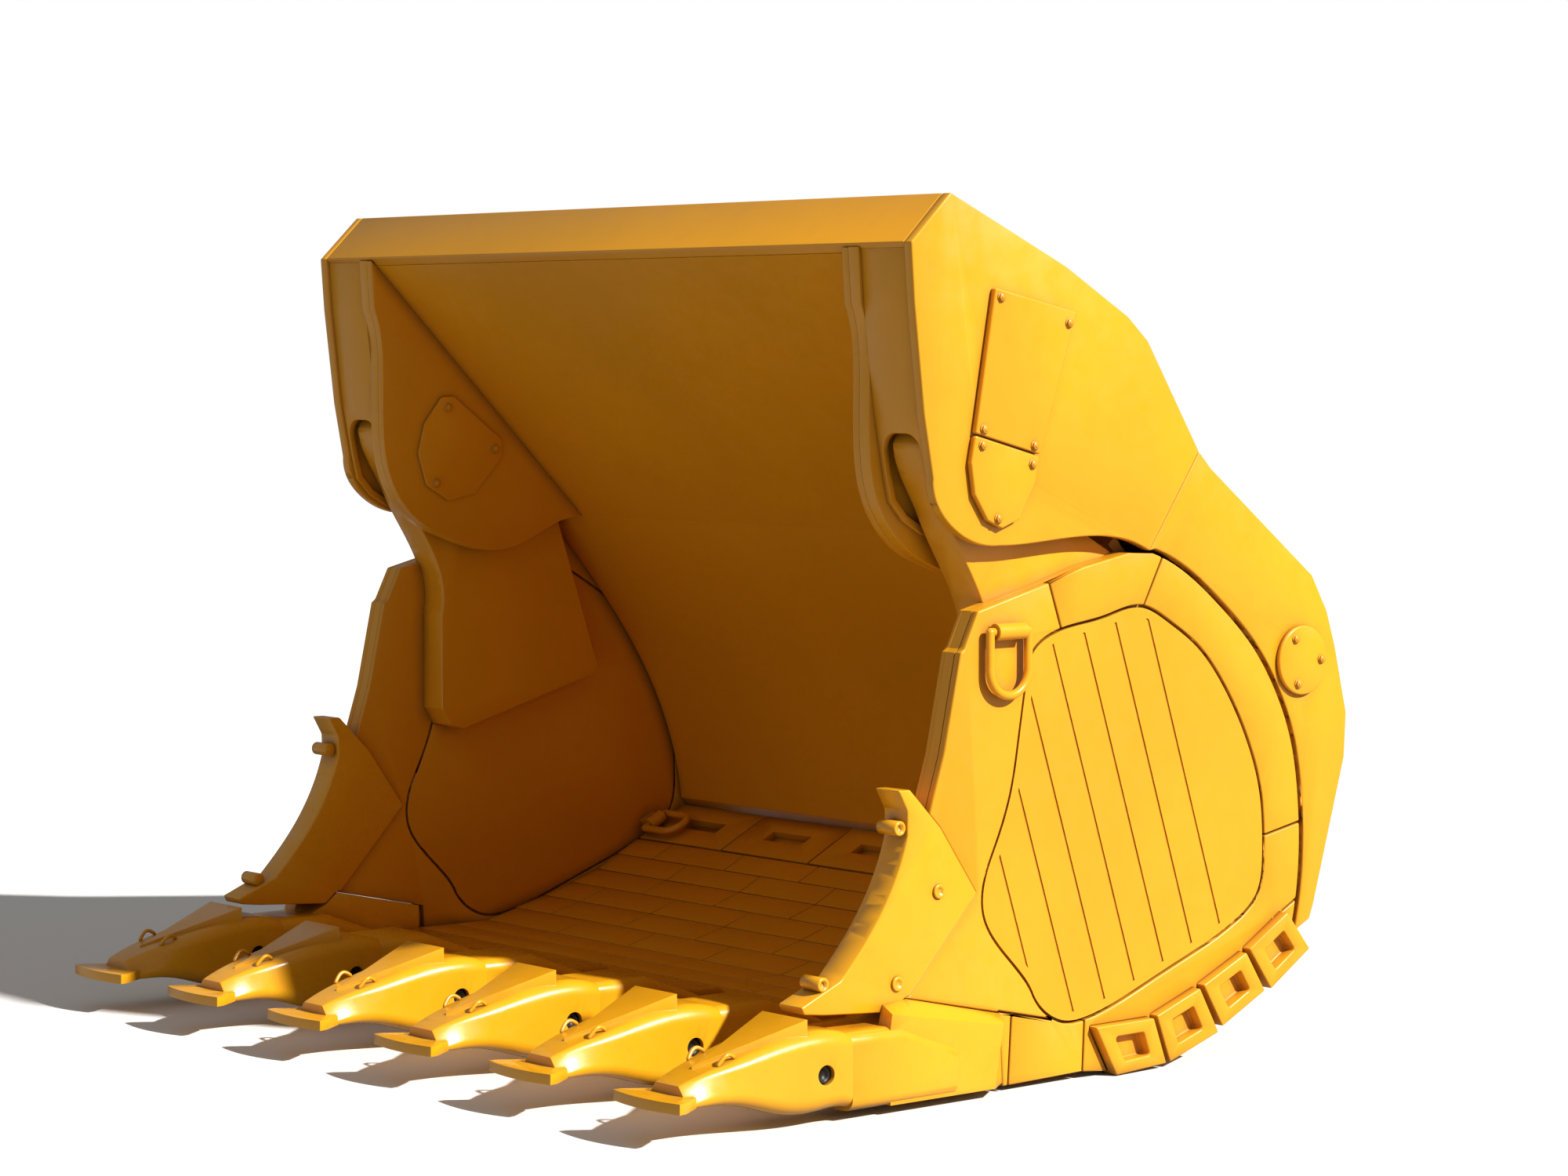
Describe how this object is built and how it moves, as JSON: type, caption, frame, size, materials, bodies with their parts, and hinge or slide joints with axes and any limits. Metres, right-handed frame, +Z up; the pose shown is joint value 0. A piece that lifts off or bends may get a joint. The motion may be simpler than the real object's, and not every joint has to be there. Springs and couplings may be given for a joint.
{
  "type": "bottom-dump face shovel bucket",
  "caption": "Bottom-dump face-shovel bucket: toothed clam with hinge arms that swings open from a hollow rear wall on enclosed cylinders.",
  "frame": {"origin": "middle of the stick pivot, between the two stick lugs on the back of the bucket", "axes": "+X to the right of the machine, along every pivot; +Y from the teeth to the back; +Z up, with the floor of the bucket level"},
  "size_m": [4.47, 4.194, 3.638],
  "materials": {
    "painted_plate": "semi-gloss construction-yellow paint",
    "wear_plate": "semi-gloss yellow paint over wear plate",
    "cast_steel": "glossy yellow paint over cast steel",
    "fasteners": "painted over, slightly darker",
    "pin_steel": "dark oiled steel",
    "bush_bronze": "greased bronze",
    "cylinder_paint": "satin dark grey paint",
    "chrome_rod": "polished",
    "ring_steel": "yellow paint over round bar"
  },
  "bodies": {
    "rear_wall": {"spill_guard": "painted_plate", "top_plate": "painted_plate", "rear_plate": "painted_plate", "back_plate_upper": "painted_plate", "back_plate_lower": "painted_plate", "closing_bar": "painted_plate", "box_ribs": "painted_plate", "cheek_liners": "wear_plate", "access_covers": "painted_plate", "inner_covers": "painted_plate", "cover_bolts": "fasteners", "pivot_pins": "pin_steel", "stick_lugs": "painted_plate", "tilt_lugs": "painted_plate", "pivot_bushes": "bush_bronze", "cheek_outer_left": "painted_plate", "cheek_outer_right": "painted_plate", "cheek_inner_left": "painted_plate", "cheek_inner_right": "painted_plate", "cheek_front_left": "painted_plate", "cheek_front_right": "painted_plate", "side_arm_left": "painted_plate", "side_arm_right": "painted_plate"},
    "clam": {"arm_bushes": "bush_bronze", "crank_pin_ends": "pin_steel", "floor_plate": "painted_plate", "floor_wear_plates": "wear_plate", "heel_plates": "wear_plate", "heel_blocks": "wear_plate", "bottom_wear_bars": "wear_plate", "lip": "cast_steel", "retainer_pins": "pin_steel", "ring_brackets": "painted_plate", "tooth_adapters": "cast_steel", "tooth_1": "cast_steel", "tooth_2": "cast_steel", "tooth_3": "cast_steel", "tooth_4": "cast_steel", "tooth_5": "cast_steel", "tooth_6": "cast_steel", "side_wall_left": "painted_plate", "side_wall_right": "painted_plate", "inner_liner_left": "wear_plate", "inner_liner_right": "wear_plate", "ribbed_liner_left": "wear_plate", "ribbed_liner_right": "wear_plate", "rim_plates_left": "wear_plate", "rim_plates_right": "wear_plate", "wing_shroud_left": "cast_steel", "wing_shroud_right": "cast_steel", "hinge_arm_left": "painted_plate", "hinge_arm_right": "painted_plate"},
    "barrel_left": {"cylinder_barrel_left": "cylinder_paint"},
    "rod_left": {"cylinder_rod_left": "chrome_rod"},
    "outer_ring_left": {"outer_ring_left": "ring_steel"},
    "inner_ring_left": {"inner_ring_left": "ring_steel"},
    "barrel_right": {"cylinder_barrel_right": "cylinder_paint"},
    "rod_right": {"cylinder_rod_right": "chrome_rod"},
    "outer_ring_right": {"outer_ring_right": "ring_steel"},
    "inner_ring_right": {"inner_ring_right": "ring_steel"}
  },
  "joints": [
    {"name": "clam_hinge", "type": "hinge", "parent": "rear_wall", "child": "clam", "pos_m": [0, -1.37, -0.315], "axis": [-1, 0, 0], "range_deg": [0, 55]},
    {"name": "cylinder_swing_left", "type": "hinge", "parent": "rear_wall", "child": "barrel_left", "pos_m": [-1.915, 0.41, -1.14], "axis": [1, 0, 0], "range_deg": [0, 0.4]},
    {"name": "rod_slide_left", "type": "slide", "parent": "barrel_left", "child": "rod_left", "axis": [0, -0.7925, 0.6098], "range_m": [-0.442, 0]},
    {"name": "outer_ring_swing_left", "type": "hinge", "parent": "clam", "child": "outer_ring_left", "pos_m": [-2.131, -1.335, -0.935], "axis": [0, 1, 0], "range_deg": [0, 150]},
    {"name": "inner_ring_swing_left", "type": "hinge", "parent": "clam", "child": "inner_ring_left", "pos_m": [-1.925, 0.035, -2.1765], "axis": [0, -0.8889, -0.4581], "range_deg": [0, 85]},
    {"name": "cylinder_swing_right", "type": "hinge", "parent": "rear_wall", "child": "barrel_right", "pos_m": [1.915, 0.41, -1.14], "axis": [1, 0, 0], "range_deg": [0, 0.4]},
    {"name": "rod_slide_right", "type": "slide", "parent": "barrel_right", "child": "rod_right", "axis": [0, -0.7925, 0.6098], "range_m": [-0.442, 0]},
    {"name": "outer_ring_swing_right", "type": "hinge", "parent": "clam", "child": "outer_ring_right", "pos_m": [2.131, -1.335, -0.935], "axis": [0, -1, 0], "range_deg": [0, 150]},
    {"name": "inner_ring_swing_right", "type": "hinge", "parent": "clam", "child": "inner_ring_right", "pos_m": [1.925, 0.035, -2.1765], "axis": [0, 0.8889, 0.4581], "range_deg": [0, 85]}
  ],
  "couplings": [
    {"joint": "cylinder_swing_left", "follows": "clam_hinge", "ratio": 0.0071},
    {"joint": "rod_slide_left", "follows": "clam_hinge", "m_per_rad": -0.46},
    {"joint": "cylinder_swing_right", "follows": "clam_hinge", "ratio": 0.0071},
    {"joint": "rod_slide_right", "follows": "clam_hinge", "m_per_rad": -0.46}
  ]
}
